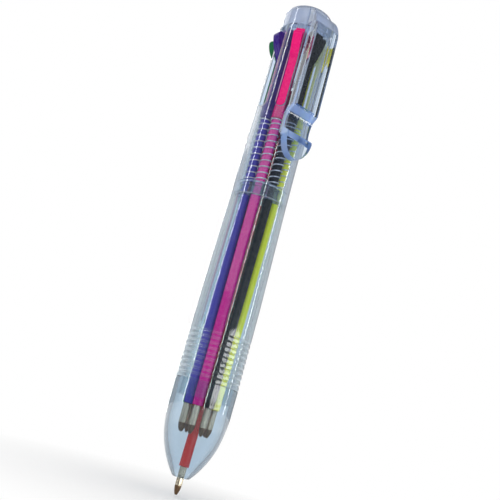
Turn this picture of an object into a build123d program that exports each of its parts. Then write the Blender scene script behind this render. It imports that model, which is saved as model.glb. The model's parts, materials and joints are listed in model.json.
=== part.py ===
from build123d import *
import os
from math import ceil, cos, pi, radians, sin

# Eight-colour slide pen. Millimetres. The pen's axis is Z with the cap up, and z = 0 is the
# end of an extended writing ball. The clip is on the -Y side, over the black slider.

# ---- driving dimensions -------------------------------------------------------------------
# Slot angles about Z, from the clip (-Y) towards +X.
SLOT_ANGLES = {
    "black": 0,
    "yellow": 45,
    "blue": 90,
    "red": 135,
    "orange": 180,
    "green": 225,
    "purple": 270,
    "pink": 315,
}
EXTENDED = "red"

# Levels along the pen
MOUTH_Z = 4.2
NOSE_TOP_Z = 27.6
BAND_START_Z = 40.8
BAND_END_Z = 50.0
SEAM_Z = 77.3
GUIDE_BOTTOM_Z = 77.45
GUIDE_TOP_Z = 80.8
SHOULDER_Z = 100.3
SLOT_BOTTOM_Z = 103.4
BARREL_TOP_Z = 129.4
CAP_TOP_Z = 136.6

# Radii of the casing
MOUTH_R = 1.27
MOUTH_OUTER_R = 2.1
GRIP_R = 8.1
SEAM_R = 7.71
BARREL_TOP_R = 7.45
BORE_R = 6.4
SPIGOT_R = 7.1
SPIGOT_BORE_R = 6.55
JOINT_GAP = 0.05

# Sliders
TRAVEL = 14.8
RING_R = 4.6
SLOT_WIDTH = 2.7
BAR_WIDTH = 2.5
BAR_INNER_R = 3.3
BAR_OUTER_R = 6.0
SLIDER_TOP_Z = 128.5
BUTTON_BOTTOM_Z = 120.0
BUTTON_TOP_Z = 126.3
BUTTON_R = 9.3
SHOE_R = 7.2
FOOT_R = 1.62
CAM_BOTTOM_Z = 120.1
LATCHED_HEAD_Z = SLIDER_TOP_Z - TRAVEL

# Refills. Lengths run along the refill from the slider's shoulder.
TUBE_R = 1.25
TUBE_BORE_R = 0.85
TUBE_LENGTH = 78.5
FERRULE_R = 0.86
CONE_START = 83.35
REFILL_LENGTH = 85.64
BALL_R = 0.25
LEAN_IN = 0.7145
LEAN_OUT = 3.258

# Springs
WIRE_R = 0.14
COIL_R = 1.48
ACTIVE_COILS = 10.5
SEAT_COILS = 1.0

# Refill guide
GUIDE_HOLE_R = 1.44
GUIDE_HOLE_RING_R = 4.205

# Clip
CLIP_WIDTH = 8.4
CLIP_FACE_R = 10.9
CLIP_PLATE = 1.1
CLIP_RIB_R = 8.2
LEDGE_Z = 102.8
SCOOP_R = 8.95
TAB_R = 11.5
TAB_END_Z = 88.7


# ---- helpers ------------------------------------------------------------------------------
def turned_outline(points):
    """The solid made by turning a closed polygon of (r, z) points about Z."""
    corners = [(r, 0, z) for r, z in points]
    return revolve(make_face(Polyline(corners, close=True)), Axis.Z)


def drum(radius, low, high):
    """A cylinder on the pen's axis between two levels."""
    return Pos(0, 0, low) * Cylinder(
        radius, high - low, align=(Align.CENTER, Align.CENTER, Align.MIN)
    )


def block(width, inner, outer, low, high):
    """A box on the -Y side: centred in X, from one radius to another, between two levels."""
    size = Box(width, outer - inner, high - low)
    return Pos(0, -(inner + outer) / 2, (low + high) / 2) * size


def side_plate(outline, width):
    """A plate whose (r, z) outline lies in the plane of the -Y side, centred in X."""
    face = make_face(outline)
    return extrude(face, amount=width / 2, dir=(1, 0, 0), both=True)


def at(r, z):
    """A point on the -Y side at a radius and level."""
    return (0, -r, z)


def around(shape, angle):
    """The shape turned from the clip's side to a slot's angle."""
    return Rot(0, 0, angle) * shape


# ---- casing -------------------------------------------------------------------------------
def bullet(mouth_r, mouth_z, knee_r, knee_z, top_r, top_z, end_z):
    """Half outline of the nose: a straight taper, an arc tangent to it, and a near cylinder."""
    taper = Line((mouth_r, 0, mouth_z), (knee_r, 0, knee_z))
    curve = TangentArc((knee_r, 0, knee_z), (top_r, 0, top_z), tangent=taper % 1)
    wall = Line((top_r, 0, top_z), (top_r, 0, end_z))
    return [taper, curve, wall]


def nose_cone():
    """Bullet-shaped nose with a mouth for one point and a socket for the lower barrel."""
    brow_r, brow_z = 7.51, 15.76
    shoulder_r, shoulder_z = 8.02, 22.5
    flank = ThreePointArc((MOUTH_OUTER_R, 0, MOUTH_Z), (5.15, 0, 8.63), (brow_r, 0, brow_z))
    brow = TangentArc(
        (brow_r, 0, brow_z), (shoulder_r, 0, shoulder_z), tangent=flank % 1
    )
    outline = Curve() + [
        flank,
        brow,
        Line((shoulder_r, 0, shoulder_z), (GRIP_R, 0, NOSE_TOP_Z)),
        Line((GRIP_R, 0, NOSE_TOP_Z), (0, 0, NOSE_TOP_Z)),
        Line((0, 0, NOSE_TOP_Z), (0, 0, MOUTH_Z)),
        Line((0, 0, MOUTH_Z), (MOUTH_OUTER_R, 0, MOUTH_Z)),
    ]
    body = revolve(make_face(outline), Axis.Z)
    body = fillet(body.edges().sort_by(Axis.Z)[0], 0.35)

    inner_knee_r, inner_knee_z = 3.75, 8.45
    flare_r, flare_z = 2.36, 6.3
    cavity_r, cavity_top_z = 6.85, 20.5
    socket_z = 23.5
    cavity = bullet(
        flare_r, flare_z, inner_knee_r, inner_knee_z, cavity_r, cavity_top_z, socket_z
    )
    inside = [
        Line((cavity_r, 0, socket_z), (0, 0, socket_z)),
        Line((0, 0, socket_z), (0, 0, flare_z)),
        Line((0, 0, flare_z), (flare_r, 0, flare_z)),
    ]
    body -= revolve(make_face(Curve() + cavity + inside), Axis.Z)
    land_z = MOUTH_Z + 0.2
    body -= turned_outline(
        [
            (0, MOUTH_Z - 1),
            (MOUTH_R, MOUTH_Z - 1),
            (MOUTH_R, land_z),
            (flare_r, flare_z),
            (0, flare_z),
        ]
    )
    body -= drum(7.05, socket_z, NOSE_TOP_Z + 1)
    return body


def lower_barrel():
    """Grip barrel: ring-grooved grip, smooth band, long taper, and a spigot at each end."""
    neck_r, neck_bottom_z, neck_bore_r = 7.0, 23.6, 5.9
    spigot_top_z = 81.0
    body = turned_outline(
        [
            (neck_bore_r, neck_bottom_z),
            (neck_r, neck_bottom_z),
            (neck_r, NOSE_TOP_Z),
            (GRIP_R, NOSE_TOP_Z),
            (GRIP_R, BAND_END_Z),
            (SEAM_R, SEAM_Z),
            (SPIGOT_R, SEAM_Z),
            (SPIGOT_R, spigot_top_z),
            (SPIGOT_BORE_R, spigot_top_z),
            (SPIGOT_BORE_R, GUIDE_BOTTOM_Z),
            (BORE_R, GUIDE_BOTTOM_Z),
            (BORE_R, 30.2),
            (neck_bore_r, 29.2),
        ]
    )
    groove_count, groove_pitch, first_groove_z = 9, 1.35, 28.9
    groove_r, groove_offset = 0.47, 0.22
    for i in range(groove_count):
        ring = Torus(GRIP_R + groove_offset, groove_r)
        body -= Pos(0, 0, first_groove_z + i * groove_pitch) * ring

    rib_count, rib_width, rib_inner_r, rib_bottom_z = 6, 0.8, 5.85, 42.0
    rib = block(rib_width, rib_inner_r, BORE_R + 0.3, rib_bottom_z, GUIDE_BOTTOM_Z)
    first_rib_angle = 36
    for i in range(rib_count):
        body += around(rib, first_rib_angle + 360 * i / rib_count)
    return body


def upper_barrel():
    """Slotted barrel: a socket for the lower barrel, then eight open-topped slots."""
    socket_r, socket_top_z = SPIGOT_R + JOINT_GAP, 81.1
    body = turned_outline(
        [
            (socket_r, SEAM_Z),
            (SEAM_R, SEAM_Z),
            (BARREL_TOP_R, BARREL_TOP_Z),
            (BORE_R, BARREL_TOP_Z),
            (BORE_R, socket_top_z),
            (socket_r, socket_top_z),
        ]
    )
    round_z = SLOT_BOTTOM_Z + SLOT_WIDTH / 2
    slot = block(SLOT_WIDTH, 5.0, 9.0, round_z, BARREL_TOP_Z + 1)
    end = Rot(90, 0, 0) * Cylinder(SLOT_WIDTH / 2, 4)
    slot += Pos(0, -7.0, round_z) * end
    for angle in SLOT_ANGLES.values():
        body -= around(slot, angle)
    return body


def clip_outline():
    """Clip from the side: shoulder, strap, ledge, scoop, crease and a thick tab."""
    root_r, root_top_z, root_bottom_z = 5.5, 134.8, BARREL_TOP_Z + 0.2
    inner_r = CLIP_FACE_R - CLIP_PLATE
    return Curve() + [
        Line(at(root_r, root_top_z), at(6.4, root_top_z)),
        ThreePointArc(at(6.4, root_top_z), at(9.1, 132.0), at(10.6, 127.6)),
        Line(at(10.6, 127.6), at(CLIP_FACE_R, 112.0)),
        Line(at(CLIP_FACE_R, 112.0), at(CLIP_FACE_R, LEDGE_Z)),
        Line(at(CLIP_FACE_R, LEDGE_Z), at(9.4, 101.4)),
        ThreePointArc(at(9.4, 101.4), at(SCOOP_R, 98.9), at(9.2, 96.4)),
        Line(at(9.2, 96.4), at(11.0, 95.4)),
        ThreePointArc(at(11.0, 95.4), at(11.35, 95.0), at(TAB_R, 94.4)),
        Line(at(TAB_R, 94.4), at(11.2, TAB_END_Z)),
        Line(at(11.2, TAB_END_Z), at(8.8, TAB_END_Z)),
        Line(at(8.8, TAB_END_Z), at(8.8, 94.2)),
        Line(at(8.8, 94.2), at(7.85, 95.6)),
        Line(at(7.85, 95.6), at(7.85, 102.1)),
        Line(at(7.85, 102.1), at(inner_r, LEDGE_Z + 1.0)),
        Line(at(inner_r, LEDGE_Z + 1.0), at(inner_r, 112.0)),
        Line(at(inner_r, 112.0), at(9.55, root_bottom_z)),
        Line(at(9.55, root_bottom_z), at(root_r, root_bottom_z)),
        Line(at(root_r, root_bottom_z), at(root_r, root_top_z)),
    ]


def clip_strap():
    """Spring clip: a flat plate with a side rib down each edge and a round lower end."""
    strap = side_plate(clip_outline(), CLIP_WIDTH)
    rib_width, rib_top_z, scoop_rib_r = 0.9, BARREL_TOP_Z + 0.2, 7.15
    rib_outline = Polyline(
        at(CLIP_FACE_R - CLIP_PLATE + 0.1, rib_top_z),
        at(CLIP_RIB_R, rib_top_z),
        at(CLIP_RIB_R, LEDGE_Z + 0.6),
        at(scoop_rib_r, 101.2),
        at(scoop_rib_r, 95.6),
        at(9.0, 93.8),
        at(8.5, 96.0),
        at(8.5, 101.8),
        at(CLIP_FACE_R - CLIP_PLATE + 0.1, LEDGE_Z + 0.6),
        close=True,
    )
    rib = side_plate(rib_outline, rib_width)
    for side in (-1, 1):
        strap += Pos(side * (CLIP_WIDTH - rib_width) / 2, 0, 0) * rib
    round_z, top_z = TAB_END_Z + 6.2, 136.0
    front = Pos(0, round_z) * Ellipse(CLIP_WIDTH / 2, round_z - TAB_END_Z)
    front += Pos(0, (round_z + top_z) / 2) * Rectangle(CLIP_WIDTH, top_z - round_z)
    return strap & extrude(Plane.XZ * front, amount=14)


def clip_cap():
    """Cap, clip and the central latch post, moulded in one."""
    plug_r, plug_bottom_z = BORE_R - JOINT_GAP, 128.7
    skirt_r, brow_r, brow_z = 7.25, 7.05, 134.6
    post_r, post_bottom_z = 2.3, LATCHED_HEAD_Z + 0.2
    top = Curve() + [
        Line((0, 0, BARREL_TOP_Z), (skirt_r, 0, BARREL_TOP_Z)),
        Line((skirt_r, 0, BARREL_TOP_Z), (skirt_r, 0, BARREL_TOP_Z + 0.7)),
        Line((skirt_r, 0, BARREL_TOP_Z + 0.7), (brow_r, 0, BARREL_TOP_Z + 0.9)),
        Line((brow_r, 0, BARREL_TOP_Z + 0.9), (brow_r, 0, brow_z)),
        ThreePointArc((brow_r, 0, brow_z), (6.45, 0, 135.85), (5.2, 0, 136.35)),
        Line((5.2, 0, 136.35), (0, 0, CAP_TOP_Z)),
        Line((0, 0, CAP_TOP_Z), (0, 0, BARREL_TOP_Z)),
    ]
    body = revolve(make_face(top), Axis.Z)
    body += clip_strap()
    body += drum(plug_r, plug_bottom_z, BARREL_TOP_Z + 1)
    cavity_r, cavity_top_z = 5.6, 134.9
    body -= drum(cavity_r, plug_bottom_z - 1, cavity_top_z)
    body += drum(post_r, post_bottom_z, cavity_top_z + 0.5)
    return body


def refill_guide():
    """Spool with eight holes that guides the refills and seats their springs."""
    flange_top_z, collar_z = 78.4, 79.9
    body = turned_outline(
        [
            (1.3, GUIDE_BOTTOM_Z),
            (SPIGOT_BORE_R - JOINT_GAP, GUIDE_BOTTOM_Z),
            (SPIGOT_BORE_R - JOINT_GAP, flange_top_z),
            (5.9, flange_top_z),
            (5.9, collar_z),
            (6.3, collar_z),
            (6.3, GUIDE_TOP_Z),
            (1.3, GUIDE_TOP_Z),
        ]
    )
    hole = Pos(0, -GUIDE_HOLE_RING_R, (GUIDE_BOTTOM_Z + GUIDE_TOP_Z) / 2) * Cylinder(
        GUIDE_HOLE_R, 2 * (GUIDE_TOP_Z - GUIDE_BOTTOM_Z)
    )
    for angle in SLOT_ANGLES.values():
        body -= around(hole, angle)
    return body


# ---- one colour ---------------------------------------------------------------------------
def button():
    """Thumb button: a fin whose rounded top overhangs and whose front runs down to the slot."""
    root_r = BAR_OUTER_R - 0.4
    start_r, start_z = SHOE_R - 0.15, BUTTON_BOTTOM_Z + 0.1
    outline = Curve() + [
        Line(at(root_r, start_z), at(start_r, start_z)),
        ThreePointArc(
            at(start_r, start_z), at(8.35, 122.3), at(BUTTON_R, BUTTON_TOP_Z - 1.1)
        ),
        ThreePointArc(
            at(BUTTON_R, BUTTON_TOP_Z - 1.1),
            at(BUTTON_R - 0.35, BUTTON_TOP_Z - 0.3),
            at(BUTTON_R - 1.2, BUTTON_TOP_Z),
        ),
        Line(at(BUTTON_R - 1.2, BUTTON_TOP_Z), at(root_r, BUTTON_TOP_Z)),
        Line(at(root_r, BUTTON_TOP_Z), at(root_r, start_z)),
    ]
    fin = side_plate(outline, BAR_WIDTH)
    sides = fin.edges().filter_by(GeomType.CIRCLE)
    return fillet(sides, 0.3)


def slider():
    """Slider at the top of its slot: bar, shoe in the slot, button, cam, foot and spigot."""
    bar = block(BAR_WIDTH, BAR_INNER_R, BAR_OUTER_R, SHOULDER_Z + 1.6, SLIDER_TOP_Z)
    bar = fillet(bar.edges().filter_by(Axis.X).sort_by(Axis.Z)[-2:], 0.9)
    shoe_top_z = SLIDER_TOP_Z - 0.6
    shoe_outline = Polyline(
        at(BAR_OUTER_R - 0.5, shoe_top_z),
        at(SHOE_R, shoe_top_z),
        at(SHOE_R, BUTTON_BOTTOM_Z),
        at(BAR_OUTER_R + 0.32, BUTTON_BOTTOM_Z - 0.8),
        at(BAR_OUTER_R, BUTTON_BOTTOM_Z - 3.5),
        at(BAR_OUTER_R - 0.5, BUTTON_BOTTOM_Z - 3.5),
        close=True,
    )
    shoe = side_plate(shoe_outline, BAR_WIDTH)
    shoe = fillet(shoe.edges().filter_by(Axis.X).group_by(Axis.Z)[-1], 0.5)
    cam_outline = Polyline(
        at(2.45, SLIDER_TOP_Z - 1.6),
        at(2.45, CAM_BOTTOM_Z + 0.9),
        at(BAR_INNER_R, CAM_BOTTOM_Z),
        at(BAR_INNER_R + 0.4, CAM_BOTTOM_Z),
        at(BAR_INNER_R + 0.4, SLIDER_TOP_Z - 1.0),
        at(BAR_INNER_R, SLIDER_TOP_Z - 1.0),
        close=True,
    )
    cam = side_plate(cam_outline, 1.3)
    on_ring = Pos(0, -RING_R, 0)
    foot = on_ring * drum(FOOT_R, SHOULDER_Z, SHOULDER_Z + 3.0)
    foot = chamfer(foot.edges().group_by(Axis.Z)[-1], 0.5)
    spigot_length = 2.2
    spigot = Pos(0, -RING_R, SHOULDER_Z - spigot_length / 2) * Cone(
        0.68, 0.8, spigot_length
    )
    return bar + shoe + button() + cam + foot + spigot


def along_refill(shape, drop, lean):
    """A shape from the refill's own frame, Z up from the slider's shoulder, to the -Y slot."""
    return Pos(0, -RING_R, SHOULDER_Z - drop) * Rot(lean, 0, 0) * shape


def refill_tube():
    """Ink tube, hanging from just under the slider's shoulder."""
    top_gap = 0.12
    tube = drum(TUBE_R, -TUBE_LENGTH, -top_gap)
    return tube - drum(TUBE_BORE_R, -TUBE_LENGTH - 1, 0)


def point():
    """Metal point: a stem in the tube, a ferrule, a rounded cone and the ball's socket."""
    stem_r, stem_length, channel_r = 0.83, 3.0, 0.3
    lip_r = 0.31
    tip_z = -(REFILL_LENGTH - 0.17)
    ball_z = -(REFILL_LENGTH - BALL_R)
    cone_z = -CONE_START
    corners = [
        (channel_r, 0, -TUBE_LENGTH + stem_length),
        (stem_r, 0, -TUBE_LENGTH + stem_length),
        (stem_r, 0, -TUBE_LENGTH),
        (FERRULE_R, 0, -TUBE_LENGTH - 0.01),
        (FERRULE_R, 0, cone_z),
    ]
    inside = [
        (lip_r, 0, tip_z),
        (0, 0, tip_z),
        (0, 0, ball_z),
        (channel_r, 0, ball_z + 0.4),
        corners[0],
    ]
    flank = ThreePointArc(corners[-1], (0.68, 0, (cone_z + tip_z) / 2), inside[0])
    outline = Curve() + [Polyline(*corners), flank, Polyline(*inside)]
    body = revolve(make_face(outline), Axis.Z)
    socket_r = BALL_R + 0.02
    return body - Pos(0, 0, ball_z) * Sphere(socket_r)


def ball():
    """Writing ball."""
    return Pos(0, 0, -(REFILL_LENGTH - BALL_R)) * Sphere(BALL_R)


def spring(drop, lean):
    """Return spring between the guide and the slider's foot, with closed ends."""
    end_gap = 0.12
    bottom = -(SHOULDER_Z - drop - GUIDE_TOP_Z) / cos(radians(lean)) + end_gap + WIRE_R
    top = -end_gap - WIRE_R
    seat_rise = SEAT_COILS * (2 * WIRE_R + 0.02)
    turns = ACTIVE_COILS + 2 * SEAT_COILS
    active_rise = top - bottom - 2 * seat_rise
    points_per_turn = 8
    steps = ceil(turns * points_per_turn)
    centres = []
    for i in range(steps + 1):
        turn = turns * i / steps
        share = min(max((turn - SEAT_COILS) / ACTIVE_COILS, 0), 1)
        low = min(turn, SEAT_COILS) / SEAT_COILS
        high = max(turn - SEAT_COILS - ACTIVE_COILS, 0) / SEAT_COILS
        rise = seat_rise * (low + high) + active_rise * share
        angle = 2 * pi * turn
        centres.append((COIL_R * cos(angle), COIL_R * sin(angle), bottom + rise))
    path = Spline(*centres)
    wire_end = Plane(origin=path @ 0, z_dir=path % 0)
    return sweep(wire_end * Circle(WIRE_R), path=path)


# ---- assembly -----------------------------------------------------------------------------
def casing():
    """The five pieces that stay still."""
    return {
        "nose_cone": nose_cone(),
        "lower_barrel": lower_barrel(),
        "refill_guide": refill_guide(),
        "upper_barrel": upper_barrel(),
        "clip_cap": clip_cap(),
    }


def colour_set(colour, angle):
    """The five pieces of one colour, extended for the colour in use and retracted otherwise."""
    drop = TRAVEL if colour == EXTENDED else 0
    lean = LEAN_OUT if colour == EXTENDED else LEAN_IN
    pieces = {
        "slider": Pos(0, 0, -drop) * slider(),
        "spring": along_refill(spring(drop, lean), drop, lean),
        "refill_tube": along_refill(refill_tube(), drop, lean),
        "point": along_refill(point(), drop, lean),
        "ball": along_refill(ball(), drop, lean),
    }
    return {f"{colour}_{name}": around(shape, angle) for name, shape in pieces.items()}


os.makedirs("parts", exist_ok=True)
pen = casing()
for colour, angle in SLOT_ANGLES.items():
    pen.update(colour_set(colour, angle))
for name, shape in pen.items():
    export_step(shape, f"parts/{name}.step")
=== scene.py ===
import json
import math

import bmesh
import bpy
from mathutils import Matrix, Vector


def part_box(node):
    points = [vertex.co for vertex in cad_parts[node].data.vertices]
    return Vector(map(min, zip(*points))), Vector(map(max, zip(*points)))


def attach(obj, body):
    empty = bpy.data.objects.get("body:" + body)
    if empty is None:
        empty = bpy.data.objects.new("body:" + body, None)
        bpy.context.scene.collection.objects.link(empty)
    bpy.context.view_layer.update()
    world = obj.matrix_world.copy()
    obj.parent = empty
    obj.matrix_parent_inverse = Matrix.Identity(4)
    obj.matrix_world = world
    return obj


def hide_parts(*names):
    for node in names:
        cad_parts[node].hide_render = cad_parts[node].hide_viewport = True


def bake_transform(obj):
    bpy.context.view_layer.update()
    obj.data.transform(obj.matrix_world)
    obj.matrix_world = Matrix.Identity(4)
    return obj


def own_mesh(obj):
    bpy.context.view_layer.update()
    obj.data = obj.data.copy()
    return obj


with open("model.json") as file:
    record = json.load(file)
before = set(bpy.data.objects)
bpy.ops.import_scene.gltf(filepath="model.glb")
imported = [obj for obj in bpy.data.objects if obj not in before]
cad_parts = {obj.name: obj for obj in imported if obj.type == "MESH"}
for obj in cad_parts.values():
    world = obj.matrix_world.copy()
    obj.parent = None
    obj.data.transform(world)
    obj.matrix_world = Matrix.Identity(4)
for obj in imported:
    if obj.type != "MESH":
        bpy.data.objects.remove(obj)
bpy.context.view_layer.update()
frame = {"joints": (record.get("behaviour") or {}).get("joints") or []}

MM = 0.001
COLOURS = ("black", "yellow", "blue", "red", "orange", "green", "purple", "pink")
OUT_COLOUR = "red"
TURN_STEPS = 192


# ---- frame: where things are, in millimetres ---------------------------------------------
def span(node):
    """Lowest and highest corner of a CAD node, in millimetres."""
    low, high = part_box(node)
    return low / MM, high / MM


NOSE_LOW, NOSE_HIGH = span("nose_cone")
LOWER_LOW, LOWER_HIGH = span("lower_barrel")
GUIDE_LOW, GUIDE_HIGH = span("refill_guide")
UPPER_LOW, UPPER_HIGH = span("upper_barrel")
CAP_LOW, CAP_HIGH = span("clip_cap")
SLIDER_LOW, SLIDER_HIGH = span("black_slider")

MOUTH_Z = NOSE_LOW.z
NOSE_TOP_Z = NOSE_HIGH.z
GRIP_R = NOSE_HIGH.x
SEAM_Z = UPPER_LOW.z
SEAM_R = UPPER_HIGH.x
BARREL_TOP_Z = UPPER_HIGH.z
BARREL_TOP_R = 7.45
GUIDE_BOTTOM_Z = GUIDE_LOW.z
GUIDE_TOP_Z = GUIDE_HIGH.z
BORE_R = 6.4
SPIGOT_R = 7.1
SPIGOT_BORE_R = 6.55
SPIGOT_TOP_Z = LOWER_HIGH.z
CAP_TOP_Z = CAP_HIGH.z
TAB_END_Z = CAP_LOW.z

JOINTS = {j["name"]: j for j in frame["joints"]}


class Colour:
    """One colour's place: slot angle, the slider's shoulder and the refill's direction."""

    def __init__(self, name):
        self.name = name
        hinge = JOINTS[f"{name}_lean"]
        self.pivot = Vector(hinge["pos_m"]) / MM
        self.angle = math.atan2(self.pivot.x, -self.pivot.y)
        low, high = span(f"{name}_ball")
        self.down = ((low + high) / 2 - self.pivot).normalized()
        slide = JOINTS[f"{name}_slide"]
        self.travel = max(abs(v) for v in slide["range_m"]) / MM

    def slider_frame(self):
        """From the -Y side with z 0 at the shoulder to this slot."""
        turn = Matrix.Rotation(self.angle, 4, "Z")
        return Matrix.Translation((0, 0, self.pivot.z * MM)) @ turn

    def refill_frame(self):
        """From a refill that hangs down from the origin to this refill."""
        lean = Vector((0, 0, -1)).rotation_difference(self.down).to_matrix().to_4x4()
        return Matrix.Translation(self.pivot * MM) @ lean


# ---- mesh helpers -------------------------------------------------------------------------
def mesh_object(name, verts, faces):
    """A mesh object from millimetre vertices."""
    mesh = bpy.data.meshes.new(name)
    mesh.from_pydata([Vector(v) * MM for v in verts], [], faces)
    mesh.update()
    obj = bpy.data.objects.new(name, mesh)
    bpy.context.scene.collection.objects.link(obj)
    return obj


def clean(obj, merge=1e-8):
    """Merges doubled vertices and turns all faces outwards."""
    bm = bmesh.new()
    bm.from_mesh(obj.data)
    bmesh.ops.remove_doubles(bm, verts=bm.verts, dist=merge)
    bmesh.ops.dissolve_degenerate(bm, edges=bm.edges, dist=merge)
    bmesh.ops.recalc_face_normals(bm, faces=bm.faces)
    bm.to_mesh(obj.data)
    bm.free()
    return obj


def lathe(name, outline, steps=TURN_STEPS):
    """A closed (r, z) outline turned about Z."""
    count = len(outline)
    verts, faces = [], []
    for i in range(steps):
        a = 2 * math.pi * i / steps
        verts += [(r * math.sin(a), -r * math.cos(a), z) for r, z in outline]
    for i in range(steps):
        here, there = i * count, (i + 1) % steps * count
        for k in range(count):
            n = (k + 1) % count
            faces.append((here + k, here + n, there + n, there + k))
    return clean(mesh_object(name, verts, faces))


def prism(name, outline, width):
    """A closed (r, z) outline on the -Y side, extruded along X about the middle."""
    count = len(outline)
    verts = [(-width / 2, -r, z) for r, z in outline]
    verts += [(width / 2, -r, z) for r, z in outline]
    faces = [tuple(range(count)), tuple(range(2 * count - 1, count - 1, -1))]
    for k in range(count):
        n = (k + 1) % count
        faces.append((k, k + count, n + count, n))
    return clean(mesh_object(name, verts, faces))


def slab(name, outline, near, far):
    """A closed (x, z) outline, extruded along -Y from one radius to another."""
    count = len(outline)
    verts = [(x, -near, z) for x, z in outline] + [(x, -far, z) for x, z in outline]
    faces = [tuple(range(count)), tuple(range(2 * count - 1, count - 1, -1))]
    for k in range(count):
        n = (k + 1) % count
        faces.append((k, k + count, n + count, n))
    return clean(mesh_object(name, verts, faces))


def moved(obj, matrix):
    """The object with its mesh carried by a matrix."""
    obj.data.transform(matrix)
    obj.data.update()
    return obj


def copied(obj, name, matrix):
    """A copy of the object with its own mesh, carried by a matrix."""
    twin = obj.copy()
    twin.data = obj.data.copy()
    twin.name = name
    twin.data.name = name
    bpy.context.scene.collection.objects.link(twin)
    return moved(twin, matrix)


def applied(obj):
    """The object with its modifiers made part of its mesh."""
    graph = bpy.context.evaluated_depsgraph_get()
    mesh = bpy.data.meshes.new_from_object(obj.evaluated_get(graph), depsgraph=graph)
    obj.modifiers.clear()
    obj.data = mesh
    return obj


def combine(obj, tools, operation):
    """Boolean of the object with each tool, which is used up."""
    for tool in tools:
        step = obj.modifiers.new(operation, "BOOLEAN")
        step.operation = operation
        step.solver = "EXACT"
        step.object = tool
        applied(obj)
        bpy.data.objects.remove(tool)
    return clean(obj, 2e-7)


def bevelled(obj, width, steps=2, angle=35):
    """The object with its sharp edges rounded."""
    edge = obj.modifiers.new("bevel", "BEVEL")
    edge.width = width * MM
    edge.segments = steps
    edge.limit_method = "ANGLE"
    edge.angle_limit = math.radians(angle)
    edge.harden_normals = False
    return applied(obj)


def smooth(obj, angle=32):
    """Smooth shading with creases kept, and long flat faces shaded flat."""
    obj.data.shade_smooth()
    obj.data.set_sharp_from_angle(angle=math.radians(angle))
    weights = obj.modifiers.new("weights", "WEIGHTED_NORMAL")
    weights.keep_sharp = True
    return obj


def arc(p0, p1, p2, steps=10):
    """Points on the circle through three points, without the last."""
    (ax, ay), (bx, by), (cx, cy) = p0, p1, p2
    d = 2 * (ax * (by - cy) + bx * (cy - ay) + cx * (ay - by))
    a2, b2, c2 = ax * ax + ay * ay, bx * bx + by * by, cx * cx + cy * cy
    ux = (a2 * (by - cy) + b2 * (cy - ay) + c2 * (ay - by)) / d
    uy = (a2 * (cx - bx) + b2 * (ax - cx) + c2 * (bx - ax)) / d
    radius = math.hypot(ax - ux, ay - uy)
    start, mid, end = (math.atan2(y - uy, x - ux) for x, y in (p0, p1, p2))
    full = 2 * math.pi
    sweep = (end - start) % full
    if (mid - start) % full > sweep:
        sweep -= full
    turns = [start + sweep * i / steps for i in range(steps)]
    return [(ux + radius * math.cos(t), uy + radius * math.sin(t)) for t in turns]


def tangent_arc(p0, toward, p1, steps=20):
    """Points from p0 to p1 on the circle that leaves p0 in a direction, without the last."""
    d = Vector(toward).normalized()
    chord = Vector(p1) - Vector(p0)
    half = math.atan2(d.x * chord.y - d.y * chord.x, d.dot(chord))
    radius = chord.length / (2 * math.sin(half))
    points = []
    for i in range(steps):
        turn = 2 * half * i / steps
        along, aside = radius * math.sin(turn), radius * (1 - math.cos(turn))
        points.append(
            (p0[0] + d.x * along - d.y * aside, p0[1] + d.y * along + d.x * aside)
        )
    return points


def rounded(corner, before, after, radius, steps=4):
    """Points of a small round at a corner between two straight sides."""
    c, b, a = Vector(corner), Vector(before), Vector(after)
    to_b, to_a = (b - c).normalized(), (a - c).normalized()
    start, end = c + to_b * radius, c + to_a * radius
    points = []
    for i in range(steps + 1):
        t = i / steps
        points.append(tuple((1 - t) ** 2 * start + 2 * t * (1 - t) * c + t * t * end))
    return points


def softened(outline, radius):
    """The outline with a small round at each corner."""
    points = []
    for i, corner in enumerate(outline):
        before, after = outline[i - 1], outline[(i + 1) % len(outline)]
        shortest = min(math.dist(corner, before), math.dist(corner, after))
        points += rounded(corner, before, after, min(radius, 0.45 * shortest))
    return points


# ---- materials ----------------------------------------------------------------------------
def node_material(name):
    """An empty node material with its output."""
    mat = bpy.data.materials.new(name)
    mat.use_nodes = True
    tree = mat.node_tree
    tree.nodes.clear()
    out = tree.nodes.new("ShaderNodeOutputMaterial")
    return mat, tree, out


def noise(tree, scale, detail=3.0, stretch=(1, 1, 1)):
    """A noise texture in object space, stretched along the axes."""
    place = tree.nodes.new("ShaderNodeTexCoord")
    mapping = tree.nodes.new("ShaderNodeMapping")
    mapping.inputs["Scale"].default_value = stretch
    texture = tree.nodes.new("ShaderNodeTexNoise")
    texture.inputs["Scale"].default_value = scale
    texture.inputs["Detail"].default_value = detail
    tree.links.new(place.outputs["Object"], mapping.inputs["Vector"])
    tree.links.new(mapping.outputs["Vector"], texture.inputs["Vector"])
    return texture.outputs["Fac"]


def mapped(tree, value, low, high, start=0.0, end=1.0):
    """A value from start..end carried to low..high."""
    node = tree.nodes.new("ShaderNodeMapRange")
    node.inputs["From Min"].default_value = start
    node.inputs["From Max"].default_value = end
    node.inputs["To Min"].default_value = low
    node.inputs["To Max"].default_value = high
    tree.links.new(value, node.inputs["Value"])
    return node.outputs["Result"]


def bumped(tree, value, distance, strength=1.0):
    """A bump normal from a value."""
    node = tree.nodes.new("ShaderNodeBump")
    node.inputs["Distance"].default_value = distance
    node.inputs["Strength"].default_value = strength
    tree.links.new(value, node.inputs["Height"])
    return node.outputs["Normal"]


def two_tone(tree, value, first, second):
    """A colour between two, by a value."""
    ramp = tree.nodes.new("ShaderNodeValToRGB")
    ramp.color_ramp.elements[0].position = 0.35
    ramp.color_ramp.elements[1].position = 0.65
    ramp.color_ramp.elements[0].color = (*first, 1)
    ramp.color_ramp.elements[1].color = (*second, 1)
    tree.links.new(value, ramp.inputs["Fac"])
    return ramp.outputs["Color"]


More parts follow.
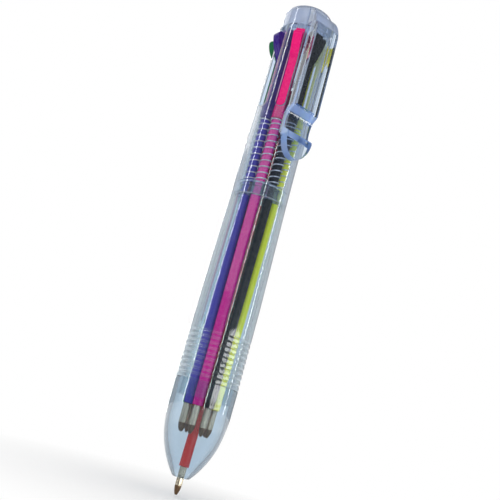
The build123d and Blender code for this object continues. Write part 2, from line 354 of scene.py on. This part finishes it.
def shade(colour, by):
    """A colour made lighter or darker."""
    return tuple(min(1.0, c * by) for c in colour)


def opaque_plastic(name, colour, roughness=0.28, gloss=0.5):
    """Moulded coloured plastic: faint mottling, uneven gloss and a little light inside."""
    mat, tree, out = node_material(name)
    shader = tree.nodes.new("ShaderNodeBsdfPrincipled")
    tone = noise(tree, 260)
    tree.links.new(
        two_tone(tree, tone, shade(colour, 0.97), shade(colour, 1.03)),
        shader.inputs["Base Color"],
    )
    grain = noise(tree, 900)
    tree.links.new(
        mapped(tree, grain, roughness - 0.05, roughness + 0.08),
        shader.inputs["Roughness"],
    )
    tree.links.new(bumped(tree, grain, 0.00002), shader.inputs["Normal"])
    shader.inputs["IOR"].default_value = 1.5
    shader.inputs["Specular IOR Level"].default_value = gloss
    shader.inputs["Subsurface Weight"].default_value = 0.05
    shader.inputs["Subsurface Radius"].default_value = (0.0006, 0.0006, 0.0006)
    shader.inputs["Subsurface Scale"].default_value = 1.0
    tree.links.new(shader.outputs[0], out.inputs["Surface"])
    return mat


def see_through(
    name, tint, roughness, absorb=None, milk=0.0, painted_edge_sheen=0.0, bump=0.000004, scale=260
):
    """Clear plastic, more or less milky, with a painted pale sheen where it is seen at a shallow
    angle.
    """
    mat, tree, out = node_material(name)
    body = tree.nodes.new("ShaderNodeBsdfPrincipled")
    body.inputs["Base Color"].default_value = (*tint, 1)
    view = tree.nodes.new("ShaderNodeLayerWeight")
    view.inputs["Blend"].default_value = 0.5
    face_on = 1.0 - milk
    # painted sheen: less transmission, and so a pale diffuse look, where the surface is seen at a
    # shallow angle
    clearness = mapped(tree, view.outputs["Facing"], face_on, face_on - painted_edge_sheen, 0.25, 0.75)
    tree.links.new(clearness, body.inputs["Transmission Weight"])
    body.inputs["IOR"].default_value = 1.5
    waves = noise(tree, scale, 2.0)
    tree.links.new(
        mapped(tree, waves, roughness, roughness * 1.5 + 0.01), body.inputs["Roughness"]
    )
    tree.links.new(bumped(tree, waves, bump), body.inputs["Normal"])
    open_way = tree.nodes.new("ShaderNodeBsdfTransparent")
    open_way.inputs["Color"].default_value = (*tint, 1)
    path = tree.nodes.new("ShaderNodeLightPath")
    either = tree.nodes.new("ShaderNodeMath")
    either.operation = "MAXIMUM"
    tree.links.new(path.outputs["Is Shadow Ray"], either.inputs[0])
    tree.links.new(path.outputs["Is Diffuse Ray"], either.inputs[1])
    mix = tree.nodes.new("ShaderNodeMixShader")
    tree.links.new(either.outputs[0], mix.inputs["Fac"])
    tree.links.new(body.outputs[0], mix.inputs[1])
    tree.links.new(open_way.outputs[0], mix.inputs[2])
    tree.links.new(mix.outputs[0], out.inputs["Surface"])
    if absorb is None:
        return mat
    density = max(absorb)
    inside = tree.nodes.new("ShaderNodeVolumeAbsorption")
    inside.inputs["Density"].default_value = density
    inside.inputs["Color"].default_value = (*[1 - a / density for a in absorb], 1)
    tree.links.new(inside.outputs[0], out.inputs["Volume"])
    return mat


def metal(name, colour, roughness, stretch=(1, 1, 1), metallic=1.0, bump=0.00001):
    """Turned metal with fine streaks."""
    mat, tree, out = node_material(name)
    shader = tree.nodes.new("ShaderNodeBsdfPrincipled")
    streaks = noise(tree, 1500, 4.0, stretch)
    tree.links.new(
        two_tone(tree, streaks, shade(colour, 0.72), shade(colour, 1.12)),
        shader.inputs["Base Color"],
    )
    shader.inputs["Metallic"].default_value = metallic
    tree.links.new(
        mapped(tree, streaks, roughness * 0.7, roughness * 1.4),
        shader.inputs["Roughness"],
    )
    tree.links.new(bumped(tree, streaks, bump), shader.inputs["Normal"])
    tree.links.new(shader.outputs[0], out.inputs["Surface"])
    return mat


SLIDER_COLOURS = {
    "black": (0.004, 0.004, 0.006),
    "yellow": (0.90, 0.76, 0.03),
    "blue": (0.004, 0.115, 0.40),
    "red": (0.62, 0.008, 0.03),
    "orange": (0.84, 0.19, 0.01),
    "green": (0.0, 0.155, 0.05),
    "purple": (0.04, 0.016, 0.205),
    "pink": (0.86, 0.0, 0.18),
}
TUBE_COLOURS = {
    "black": (0.004, 0.005, 0.007),
    "yellow": (0.95, 0.90, 0.02),
    "blue": (0.01, 0.09, 0.42),
    "red": (0.74, 0.004, 0.008),
    "orange": (0.84, 0.22, 0.02),
    "green": (0.005, 0.26, 0.075),
    "purple": (0.07, 0.045, 0.38),
    "pink": (0.84, 0.002, 0.28),
}

# the clear plastics of the barrels and the nose get a painted pale sheen where they are seen at a
# shallow angle
# absorption is per metre of plastic
clear = see_through(
    "clear_plastic", (0.91, 0.95, 0.995), 0.01, (60, 36, 12), painted_edge_sheen=0.42, bump=0.000002
)
clear_lower = see_through(
    "clear_plastic_lower", (0.90, 0.955, 0.985), 0.045, (44, 24, 14), 0.0, 0.5, 0.000001
)
clear_clip = see_through("clear_plastic_clip", (0.84, 0.89, 0.95), 0.03)
clear_cap = see_through("clear_plastic_cap", (0.66, 0.72, 0.84), 0.05, milk=0.3)
# painted pale-blue reflection for the clip's side and step faces, made as milky blue plastic
clip_painted_reflection = see_through("clear_plastic_painted_reflection", (0.42, 0.60, 0.96), 0.05, milk=0.34)
clear_guide = see_through("clear_plastic_guide", (0.92, 0.95, 0.97), 0.03, (90, 60, 30))
frosted = see_through(
    "frosted_plastic", (0.85, 0.90, 0.93), 0.035, (60, 36, 16), 0.0, 0.15, 0.000008, 700
)
spring_steel = metal("spring_steel", (0.90, 0.86, 0.88), 0.25, metallic=0.45)
ferrule_metal = metal("ferrule_metal", (0.66, 0.58, 0.44), 0.24, (1, 1, 0.08), 0.85)
cone_metal = metal("cone_metal", (0.16, 0.10, 0.06), 0.35, (1, 1, 3))
ball_metal = metal("ball_metal", (0.7, 0.7, 0.7), 0.1)


def finish_piece(obj, node, body, material_slot, *materials):
    """Gives a finished mesh its materials, its place in the frame and its CAD node."""
    obj.name = node + "_look"
    for mat in materials:
        obj.data.materials.append(mat)
    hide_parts(node)
    if body:
        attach(obj, body)
    return obj


# ---- casing -------------------------------------------------------------------------------
def nose_cone():
    """Bullet nose of two arcs and a near cylinder, with its mouth, cavity and socket."""
    mouth_outer_r, mouth_r, lip = 2.1, 1.27, 0.3
    flank = arc((mouth_outer_r, MOUTH_Z), (5.15, MOUTH_Z + 4.43), (7.51, MOUTH_Z + 11.56), 30)
    brow, shoulder = (7.51, MOUTH_Z + 11.56), (8.02, MOUTH_Z + 18.3)
    leaving = (brow[0] - flank[-1][0], brow[1] - flank[-1][1])
    inner_knee, inner_top = (3.75, MOUTH_Z + 4.25), (6.85, MOUTH_Z + 16.3)
    flare = (2.36, MOUTH_Z + 2.1)
    inner_taper = (inner_knee[0] - flare[0], inner_knee[1] - flare[1])
    socket_r, socket_z = 7.05, MOUTH_Z + 19.3
    outline = rounded((mouth_outer_r, MOUTH_Z), (mouth_r, MOUTH_Z), flank[2], lip)
    outline += flank[1:]
    outline += tangent_arc(brow, leaving, shoulder)
    outline += [shoulder, (GRIP_R - 0.01, NOSE_TOP_Z - 0.12), (GRIP_R - 0.12, NOSE_TOP_Z)]
    outline += [(socket_r, NOSE_TOP_Z), (socket_r, socket_z), (inner_top[0], socket_z)]
    outline += [inner_top]
    outline += list(reversed(tangent_arc(inner_knee, inner_taper, inner_top)))
    outline += [flare, (mouth_r, MOUTH_Z + 0.2), (mouth_r, MOUTH_Z + 0.03)]
    outline += [(mouth_r + 0.03, MOUTH_Z)]
    obj = smooth(lathe("nose_cone", outline))
    return finish_piece(obj, "nose_cone", "barrel", "frosted_plastic", frosted)


def groove(z, half_width, depth):
    """Points across one grip groove, from below to above."""
    return arc(
        (GRIP_R, z - half_width), (GRIP_R - depth, z), (GRIP_R, z + half_width), 8
    ) + [(GRIP_R, z + half_width)]


def lower_barrel():
    """Grip barrel with nine ring grooves, a neck, a spigot and six inner ribs."""
    neck_r, neck_bore_r = 7.0, 5.9
    band_end_z = SEAM_Z - 27.3
    bore_start_z = NOSE_TOP_Z + 2.6
    outline = [(neck_bore_r, LOWER_LOW.z), (neck_r, LOWER_LOW.z), (neck_r, NOSE_TOP_Z)]
    outline += [(GRIP_R - 0.15, NOSE_TOP_Z), (GRIP_R, NOSE_TOP_Z + 0.15)]
    for i in range(9):
        outline += groove(NOSE_TOP_Z + 1.3 + 1.35 * i, 0.3, 0.22)
    outline += [(GRIP_R, band_end_z)]
    outline += [(SEAM_R, SEAM_Z - 0.12), (SEAM_R - 0.12, SEAM_Z)]
    outline += [(SPIGOT_R, SEAM_Z), (SPIGOT_R, SPIGOT_TOP_Z - 0.2)]
    outline += [(SPIGOT_R - 0.2, SPIGOT_TOP_Z), (SPIGOT_BORE_R, SPIGOT_TOP_Z)]
    outline += [(SPIGOT_BORE_R, GUIDE_BOTTOM_Z), (BORE_R, GUIDE_BOTTOM_Z)]
    outline += [(BORE_R, bore_start_z), (neck_bore_r, bore_start_z - 1.0)]
    obj = lathe("lower_barrel", outline)
    ribs = []
    for i in range(6):
        across = [(-0.4, 42.0), (0.4, 42.0), (0.4, GUIDE_BOTTOM_Z), (-0.4, GUIDE_BOTTOM_Z)]
        rib = slab("rib", across, 5.85, BORE_R + 0.3)
        ribs.append(moved(rib, Matrix.Rotation(math.radians(36 + 60 * i), 4, "Z")))
    obj = smooth(combine(obj, ribs, "UNION"))
    return finish_piece(obj, "lower_barrel", "barrel", "clear_plastic", clear_lower)


def rounded_slot(half_width, bottom, top, steps=12):
    """(x, z) outline of a slot with a round lower end."""
    middle = bottom + half_width
    turns = [math.pi + math.pi * i / steps for i in range(steps + 1)]
    lower = [(half_width * math.cos(t), middle + half_width * math.sin(t)) for t in turns]
    return lower + [(half_width, top), (-half_width, top)]


def upper_barrel():
    """Slotted barrel with a socket below and eight open-topped slots."""
    socket_r, socket_top_z = SPIGOT_R + 0.05, SPIGOT_TOP_Z + 0.1
    slot_bottom_z = BARREL_TOP_Z - 26.0
    outline = [(socket_r, SEAM_Z), (SEAM_R - 0.12, SEAM_Z), (SEAM_R, SEAM_Z + 0.12)]
    levels = (slot_bottom_z - 12, slot_bottom_z - 2, slot_bottom_z - 0.4)
    taper = (BARREL_TOP_R - SEAM_R) / (BARREL_TOP_Z - SEAM_Z)
    outline += [(SEAM_R + taper * (z - SEAM_Z), z) for z in levels]
    outline += [(BARREL_TOP_R, BARREL_TOP_Z), (BORE_R, BARREL_TOP_Z)]
    outline += [(BORE_R, z) for z in reversed(levels)]
    outline += [(BORE_R, socket_top_z), (socket_r, socket_top_z)]
    obj = lathe("upper_barrel", outline, 256)
    cutters = []
    for i in range(8):
        cutter = slab("cut", rounded_slot(1.35, slot_bottom_z, BARREL_TOP_Z + 1), 5, 9)
        cutters.append(moved(cutter, Matrix.Rotation(math.radians(45 * i), 4, "Z")))
    obj = combine(obj, cutters, "DIFFERENCE")
    obj = smooth(bevelled(obj, 0.14))
    return finish_piece(obj, "upper_barrel", "barrel", "clear_plastic", clear)


def refill_guide():
    """Clear spool with eight refill holes."""
    flange_top_z, collar_z = GUIDE_BOTTOM_Z + 0.95, GUIDE_BOTTOM_Z + 2.45
    outline = softened(
        [
            (1.3, GUIDE_BOTTOM_Z),
            (6.5, GUIDE_BOTTOM_Z),
            (6.5, flange_top_z),
            (5.9, flange_top_z),
            (5.9, collar_z),
            (6.3, collar_z),
            (6.3, GUIDE_TOP_Z),
            (1.3, GUIDE_TOP_Z),
        ],
        0.12,
    )
    obj = lathe("refill_guide", outline, 128)
    holes = []
    for i in range(8):
        hole = lathe("hole", [(0, 70), (1.44, 70), (1.44, 90), (0, 90)], 48)
        place = Matrix.Rotation(math.radians(45 * i), 4, "Z")
        place = place @ Matrix.Translation((0, -4.205 * MM, 0))
        holes.append(moved(hole, place))
    obj = smooth(combine(obj, holes, "DIFFERENCE"))
    return finish_piece(obj, "refill_guide", "barrel", "clear_plastic", clear_guide)


def clip_plate():
    """Flat clip with a shoulder, ledge, scoop, crease, thick round tab and two side ribs."""
    face_r, inner_r, ledge_z, tab_r, half = 10.9, 9.8, 102.8, 11.5, 4.2
    root_bottom_z = BARREL_TOP_Z + 0.2
    outline = [(5.5, root_bottom_z), (5.5, 134.8), (6.0, 134.8)]
    outline += arc((6.4, 134.8), (9.1, 132.0), (10.6, 127.6), 20)
    outline += [(10.6, 127.6), (face_r, 112.0), (face_r, ledge_z + 0.2)]
    outline += rounded((face_r, ledge_z), (face_r, 112.0), (9.4, 101.4), 0.2)
    outline += arc((9.4, 101.4), (8.95, 98.9), (9.2, 96.4), 16)
    outline += [(9.2, 96.4)]
    outline += arc((11.0, 95.4), (11.35, 95.0), (tab_r, 94.4), 8)
    outline += [(tab_r, 94.4), (11.2, TAB_END_Z), (8.8, TAB_END_Z), (8.8, 94.2)]
    outline += [(7.85, 95.6), (7.85, 102.1), (inner_r, ledge_z + 1.0), (inner_r, 112.0)]
    outline += [(9.55, root_bottom_z)]
    plate = prism("plate", outline, 2 * half)
    rib_w, rib_r, scoop_rib_r = 0.9, 8.2, 7.15
    rib_outline = [(inner_r + 0.1, root_bottom_z), (rib_r, root_bottom_z)]
    rib_outline += [(rib_r, ledge_z + 0.6), (scoop_rib_r, 101.2), (scoop_rib_r, 95.6)]
    rib_outline += [(9.0, 93.8), (8.5, 96.0), (8.5, 101.8), (inner_r + 0.1, ledge_z + 0.6)]
    ribs = []
    for side in (-1, 1):
        rib = prism("rib", rib_outline, rib_w)
        place = Matrix.Translation((side * (half - rib_w / 2 - 0.005) * MM, 0, 0))
        ribs.append(moved(rib, place))
    plate = combine(plate, ribs, "UNION")
    round_z = TAB_END_Z + 6.2
    turns = [math.pi + math.pi * i / 40 for i in range(41)]
    lower = [(half * math.cos(a), round_z + (round_z - TAB_END_Z) * math.sin(a)) for a in turns]
    front = slab("front", lower + [(half, 136.0), (-half, 136.0)], 4, 14)
    return bevelled(combine(plate, [front], "INTERSECT"), 0.2, 3, 40)


def clip_cap():
    """Cap with its dome, wide clip and central latch post."""
    skirt_r, brow_r = 7.25, 7.05
    plug_r, plug_z, cavity_r = BORE_R - 0.05, BARREL_TOP_Z - 0.7, 5.6
    brow_z, roof_z = CAP_TOP_Z - 2.0, CAP_TOP_Z - 1.7
    post_r, post_z = 2.3, BARREL_TOP_Z - 15.5
    outline = [(skirt_r - 0.1, BARREL_TOP_Z), (skirt_r, BARREL_TOP_Z + 0.1)]
    outline += [(skirt_r, BARREL_TOP_Z + 0.6), (brow_r, BARREL_TOP_Z + 0.9)]
    outline += arc(
        (brow_r, brow_z), (6.45, CAP_TOP_Z - 0.75), (5.2, CAP_TOP_Z - 0.25), 12
    )
    outline += [(5.2, CAP_TOP_Z - 0.25), (2.6, CAP_TOP_Z - 0.06), (0, CAP_TOP_Z)]
    outline += [(0, post_z), (post_r - 0.3, post_z), (post_r, post_z + 0.3)]
    outline += [(post_r, roof_z), (cavity_r, roof_z), (cavity_r, plug_z)]
    outline += [(plug_r, plug_z), (plug_r, BARREL_TOP_Z)]
    cap = lathe("clip_cap", outline)

    strap = clip_plate()
    bore = lathe("bore", [(0, 120), (cavity_r, 120), (cavity_r, roof_z), (0, roof_z)], 96)
    strap = combine(strap, [bore], "DIFFERENCE")
    obj = smooth(combine(cap, [strap], "UNION"))
    for face in obj.data.polygons:
        place, facing = face.center / MM, face.normal
        if place.z > BARREL_TOP_Z + 0.05 and math.hypot(place.x, place.y) > post_r + 0.1:
            face.material_index = 1
        # side faces and steep step faces of the clip's lower part get the painted pale-blue
        # reflection
        elif place.z < 103.6 and -place.y > 7.0 and (abs(facing.x) > 0.6 or abs(facing.z) > 0.3):
            face.material_index = 2
    materials = (clear_clip, clear_cap, clip_painted_reflection)
    return finish_piece(obj, "clip_cap", "barrel", "clear_plastic", *materials)


# ---- one colour ---------------------------------------------------------------------------
def slider_master():
    """The slider on the -Y side with z 0 at its shoulder."""
    height = SLIDER_HIGH.z - SLIDER_LOW.z - 2.2
    button_r, shoe_r, width = -SLIDER_LOW.y, 7.2, 2.5
    low_z, high_z = height - 8.5, height - 2.2
    bar = prism("bar", [(3.3, 1.6), (6.0, 1.6), (6.0, height), (3.3, height)], width)
    shoe = prism(
        "shoe",
        [(5.5, height - 0.6), (shoe_r, height - 0.6), (shoe_r, low_z)]
        + [(6.32, low_z - 0.8), (6.0, low_z - 3.5), (5.5, low_z - 3.5)],
        width,
    )
    fin = [(5.6, high_z), (5.6, low_z + 0.1)]
    fin += arc((shoe_r - 0.15, low_z + 0.1), (8.35, low_z + 2.3), (button_r, high_z - 1.1), 12)
    fin += arc(
        (button_r, high_z - 1.1), (button_r - 0.35, high_z - 0.3), (button_r - 1.2, high_z), 6
    )
    fin += [(button_r - 1.2, high_z)]
    body = bevelled(combine(bar, [shoe, prism("fin", fin, width)], "UNION"), 0.3, 3)
    cam = prism(
        "cam",
        [(2.45, height - 1.6), (2.45, height - 7.5), (3.3, height - 8.4), (3.7, height - 8.4)]
        + [(3.7, height - 1.0), (3.3, height - 1.0)],
        1.3,
    )
    foot = lathe("foot", [(0, 0), (1.52, 0), (1.62, 0.1), (1.62, 2.5), (1.12, 3.0), (0, 3.0)], 64)
    spigot = lathe("spigot", [(0, -2.2), (0.6, -2.2), (0.68, -2.1), (0.8, 0.2), (0, 0.2)], 32)
    for part in (foot, spigot):
        moved(part, Matrix.Translation((0, -4.6 * MM, 0)))
    return smooth(combine(body, [cam, foot, spigot], "UNION"))


def tube_master():
    """Ink tube, hanging from the origin."""
    length, r, bore = 78.5, 1.25, 0.85
    outline = softened([(bore, -length), (r, -length), (r, -0.12), (bore, -0.12)], 0.12)
    return smooth(lathe("tube", outline, 64))


def point_master():
    """Ferrule and rounded cone with the ball's socket. The cone uses the second material."""
    tube_end, cone_start, tip = -78.5, -83.35, -85.47
    outline = [(0.3, tube_end + 3), (0.83, tube_end + 3), (0.83, tube_end)]
    outline += [(0.86, tube_end - 0.06), (0.86, cone_start + 0.25), (0.82, cone_start + 0.2)]
    outline += [(0.82, cone_start + 0.02)]
    outline += arc((0.85, cone_start), (0.68, (cone_start + tip) / 2), (0.31, tip), 14)
    outline += [(0.31, tip), (0.275, tip), (0.275, tip + 0.2), (0.3, tip + 0.5)]
    obj = smooth(lathe("point", outline, 64))
    for face in obj.data.polygons:
        face.material_index = 1 if face.center.z < (cone_start + 0.01) * MM else 0
    return obj


def ball_master():
    """Writing ball."""
    bm = bmesh.new()
    bmesh.ops.create_uvsphere(bm, u_segments=24, v_segments=16, radius=0.25 * MM)
    mesh = bpy.data.meshes.new("ball")
    bm.to_mesh(mesh)
    bm.free()
    obj = bpy.data.objects.new("ball", mesh)
    bpy.context.scene.collection.objects.link(obj)
    return moved(smooth(obj), Matrix.Translation((0, 0, -(85.64 - 0.25) * MM)))


def spring(colour):
    """Return spring from the guide to the slider's foot, closed at both ends."""
    wire, coil, active, seat, gap = 0.15, 1.48, 10.5, 1.0, 0.06
    low = -(colour.pivot.z - GUIDE_TOP_Z) / -colour.down.z + gap + wire
    high = -gap - wire
    turns = active + 2 * seat
    seat_rise = seat * (2 * wire + 0.02)
    steps, sides = int(turns * 36), 12
    verts, faces = [], []
    for i in range(steps + 1):
        turn = turns * i / steps
        share = min(max((turn - seat) / active, 0), 1)
        share = share * share * (3 - 2 * share) * 0.15 + share * 0.85
        ends = min(turn, seat) / seat + max(turn - seat - active, 0) / seat
        z = low + seat_rise * ends + (high - low - 2 * seat_rise) * share
        a = 2 * math.pi * turn
        for k in range(sides):
            b = 2 * math.pi * k / sides
            r = coil + wire * math.cos(b)
            verts.append((r * math.cos(a), r * math.sin(a), z + wire * math.sin(b)))
    for i in range(steps):
        for k in range(sides):
            n = (k + 1) % sides
            here, there = i * sides, (i + 1) * sides
            faces.append((here + k, here + n, there + n, there + k))
    faces.append(tuple(range(sides)))
    faces.append(tuple(steps * sides + k for k in range(sides)))
    obj = clean(mesh_object("spring", verts, faces))
    return smooth(moved(obj, colour.refill_frame()), 50)


def colour_set(colour, masters):
    """The five visible pieces of one colour."""
    name = colour.name
    slider_body, refill_body = f"{name}_slider", f"{name}_refill"
    plastic = opaque_plastic(f"{name}_plastic", SLIDER_COLOURS[name], 0.26, 0.25)
    ink = opaque_plastic(f"{name}_ink_tube", TUBE_COLOURS[name], 0.25, 0.2)
    slider = copied(masters["slider"], "slider", colour.slider_frame())
    finish_piece(slider, f"{name}_slider", slider_body, f"{name}_plastic", plastic)
    tube = copied(masters["tube"], "tube", colour.refill_frame())
    finish_piece(tube, f"{name}_refill_tube", refill_body, f"{name}_plastic", ink)
    point = copied(masters["point"], "point", colour.refill_frame())
    finish_piece(
        point, f"{name}_point", refill_body, "point_metal", ferrule_metal, cone_metal
    )
    ball = copied(masters["ball"], "ball", colour.refill_frame())
    finish_piece(ball, f"{name}_ball", refill_body, "point_metal", ball_metal)

    coil = spring(colour)
    if name == OUT_COLOUR:
        finish_piece(coil, f"{name}_spring", None, "spring_steel", spring_steel)
        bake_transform(coil)
    else:
        finish_piece(coil, f"{name}_spring", "barrel", "spring_steel", spring_steel)
        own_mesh(coil)


# ---- camera, light and floor --------------------------------------------------------------
def camera():
    """Low camera on the clip's left, looking up the pen and rolled so that the pen leans."""
    distance, height = 0.180, 0.0173
    azimuth, pitch, roll = math.radians(-32), math.radians(14.6), math.radians(15.6)
    yaw = math.radians(0.44)
    data = bpy.data.cameras.new("camera")
    data.sensor_width = 36
    data.lens = 50.4
    data.clip_start = 0.005
    obj = bpy.data.objects.new("camera", data)
    bpy.context.scene.collection.objects.link(obj)
    place = Vector((distance * math.sin(azimuth), -distance * math.cos(azimuth), height))
    turn = Matrix.Rotation(azimuth - yaw, 4, "Z")
    turn = turn @ Matrix.Rotation(math.pi / 2 + pitch, 4, "X")
    turn = turn @ Matrix.Rotation(roll, 4, "Z")
    obj.matrix_world = Matrix.Translation(place) @ turn
    bpy.context.scene.camera = obj


def softbox(name, angle, distance, level, aim_level, size, radiance, highlight=False):
    """A soft lamp at an angle about the pen, from -Y towards +X. A highlight lights nothing."""
    width, height = size
    data = bpy.data.lights.new(name, "AREA")
    data.shape = "RECTANGLE"
    data.size, data.size_y = width, height
    data.energy = radiance * math.pi * width * height
    obj = bpy.data.objects.new(name, data)
    bpy.context.scene.collection.objects.link(obj)
    turn = math.radians(angle)
    place = Vector((distance * math.sin(turn), -distance * math.cos(turn), level))
    aim = (Vector((0, 0, aim_level)) - place).to_track_quat("-Z", "Y").to_matrix().to_4x4()
    obj.matrix_world = Matrix.Translation(place) @ aim
    obj.visible_camera = False
    obj.visible_transmission = False
    obj.visible_diffuse = not highlight


def ray_kind(tree, *kinds):
    """1 for rays of the given kinds, as the Light Path node names them, and 0 for others."""
    path = tree.nodes.new("ShaderNodeLightPath")
    value = path.outputs[kinds[0]]
    for kind in kinds[1:]:
        both = tree.nodes.new("ShaderNodeMath")
        both.operation = "MAXIMUM"
        tree.links.new(value, both.inputs[0])
        tree.links.new(path.outputs[kind], both.inputs[1])
        value = both.outputs[0]
    return value


def past(tree, kind):
    """1 for rays that have bounced in a way before, and 0 for others."""
    path = tree.nodes.new("ShaderNodeLightPath")
    deep = tree.nodes.new("ShaderNodeMath")
    deep.operation = "GREATER_THAN"
    deep.inputs[1].default_value = 0.5
    tree.links.new(path.outputs[kind + " Depth"], deep.inputs[0])
    return deep.outputs[0]


def chosen(tree, factor, otherwise, then):
    """A mix of two shaders by a value."""
    mix = tree.nodes.new("ShaderNodeMixShader")
    tree.links.new(factor, mix.inputs["Fac"])
    tree.links.new(otherwise, mix.inputs[1])
    tree.links.new(then, mix.inputs[2])
    return mix.outputs[0]


def glow(tree, kind, colour, strength=1.0):
    """A background or emission shader of one colour, given as a tuple or a socket."""
    node = tree.nodes.new(kind)
    if isinstance(colour, tuple):
        node.inputs["Color"].default_value = (*colour, 1)
    else:
        tree.links.new(colour, node.inputs["Color"])
    node.inputs["Strength"].default_value = strength
    return node.outputs[0]


def floor():
    """Pale floor that fades to white before the horizon."""
    size = 3000
    corners = [(-size, -size, 0), (size, -size, 0), (size, size, 0), (-size, size, 0)]
    obj = mesh_object("floor", corners, [(0, 1, 2, 3)])
    moved(obj, Matrix.Translation((0, 0, -0.0002)))
    mat, tree, out = node_material("floor")
    near = tree.nodes.new("ShaderNodeBsdfPrincipled")
    tree.links.new(
        two_tone(tree, noise(tree, 30), (0.93, 0.93, 0.93), (0.95, 0.95, 0.95)),
        near.inputs["Base Color"],
    )
    near.inputs["Roughness"].default_value = 0.9
    place = tree.nodes.new("ShaderNodeTexCoord")
    length = tree.nodes.new("ShaderNodeVectorMath")
    length.operation = "LENGTH"
    tree.links.new(place.outputs["Object"], length.inputs[0])
    fade = mapped(tree, length.outputs["Value"], 0.0, 1.0, 0.008, 0.07)
    far = glow(tree, "ShaderNodeEmission", (1.0, 1.0, 1.0))
    seen = chosen(tree, fade, near.outputs[0], far)
    through = glow(tree, "ShaderNodeEmission", THROUGH_TONES[0])
    mirrored = glow(tree, "ShaderNodeEmission", THROUGH_TONES[0], 0.5)
    through = chosen(tree, past(tree, "Glossy"), through, mirrored)
    result = chosen(tree, past(tree, "Transmission"), seen, through)
    tree.links.new(result, out.inputs["Surface"])
    obj.data.materials.append(mat)


THROUGH_TONES = ((0.66, 0.74, 0.82), (0.92, 0.96, 1.0))


def sky():
    """White to the camera, soft blue-grey bands seen through and in the plastic."""
    world = bpy.data.worlds.new("studio")
    bpy.context.scene.world = world
    world.use_nodes = True
    tree = world.node_tree
    tree.nodes.clear()
    out = tree.nodes.new("ShaderNodeOutputWorld")
    place = tree.nodes.new("ShaderNodeTexCoord")
    bands = tree.nodes.new("ShaderNodeTexNoise")
    bands.inputs["Scale"].default_value = 2.2
    bands.inputs["Detail"].default_value = 0.0
    tree.links.new(place.outputs["Generated"], bands.inputs["Vector"])
    tones = two_tone(tree, bands.outputs["Fac"], *THROUGH_TONES)
    through = glow(tree, "ShaderNodeBackground", tones)
    mirrored = glow(tree, "ShaderNodeBackground", tones, 0.12)
    mirrored_inside = glow(tree, "ShaderNodeBackground", tones, 0.5)
    lighting = glow(tree, "ShaderNodeBackground", (1.0, 1.0, 1.0), 0.75)
    camera_view = glow(tree, "ShaderNodeBackground", (1.0, 1.0, 1.0))
    result = chosen(tree, ray_kind(tree, "Is Glossy Ray"), lighting, mirrored)
    through = chosen(tree, past(tree, "Glossy"), through, mirrored_inside)
    result = chosen(tree, past(tree, "Transmission"), result, through)
    result = chosen(tree, ray_kind(tree, "Is Diffuse Ray"), result, lighting)
    result = chosen(tree, ray_kind(tree, "Is Camera Ray"), result, camera_view)
    tree.links.new(result, out.inputs["Surface"])


def studio():
    """Floor, sky and soft lamps."""
    floor()
    sky()
    for angle in (-102, -20, 61, 160):
        softbox(f"strip{angle}", angle, 0.6, 0.30, 0.12, (0.03, 0.60), 16.0, True)
    softbox("grip_light", 18, 0.5, 0.070, 0.03, (0.40, 0.085), 9.0, True)
    softbox("top", 200, 0.6, 0.6, 0.1, (0.5, 0.5), 1.6)
    softbox("front", -50, 0.7, 0.4, 0.08, (0.4, 0.4), 1.2)


# ---- scene --------------------------------------------------------------------------------
nose_cone()
lower_barrel()
refill_guide()
upper_barrel()
clip_cap()
masters = {
    "slider": slider_master(),
    "tube": tube_master(),
    "point": point_master(),
    "ball": ball_master(),
}
for name in COLOURS:
    colour_set(Colour(name), masters)
for master in masters.values():
    bpy.data.objects.remove(master)
camera()
studio()
bpy.context.scene.cycles.transmission_bounces = 24
bpy.context.scene.cycles.max_bounces = 24
bpy.context.scene.cycles.transparent_max_bounces = 24
bpy.context.scene.view_settings.view_transform = "Standard"
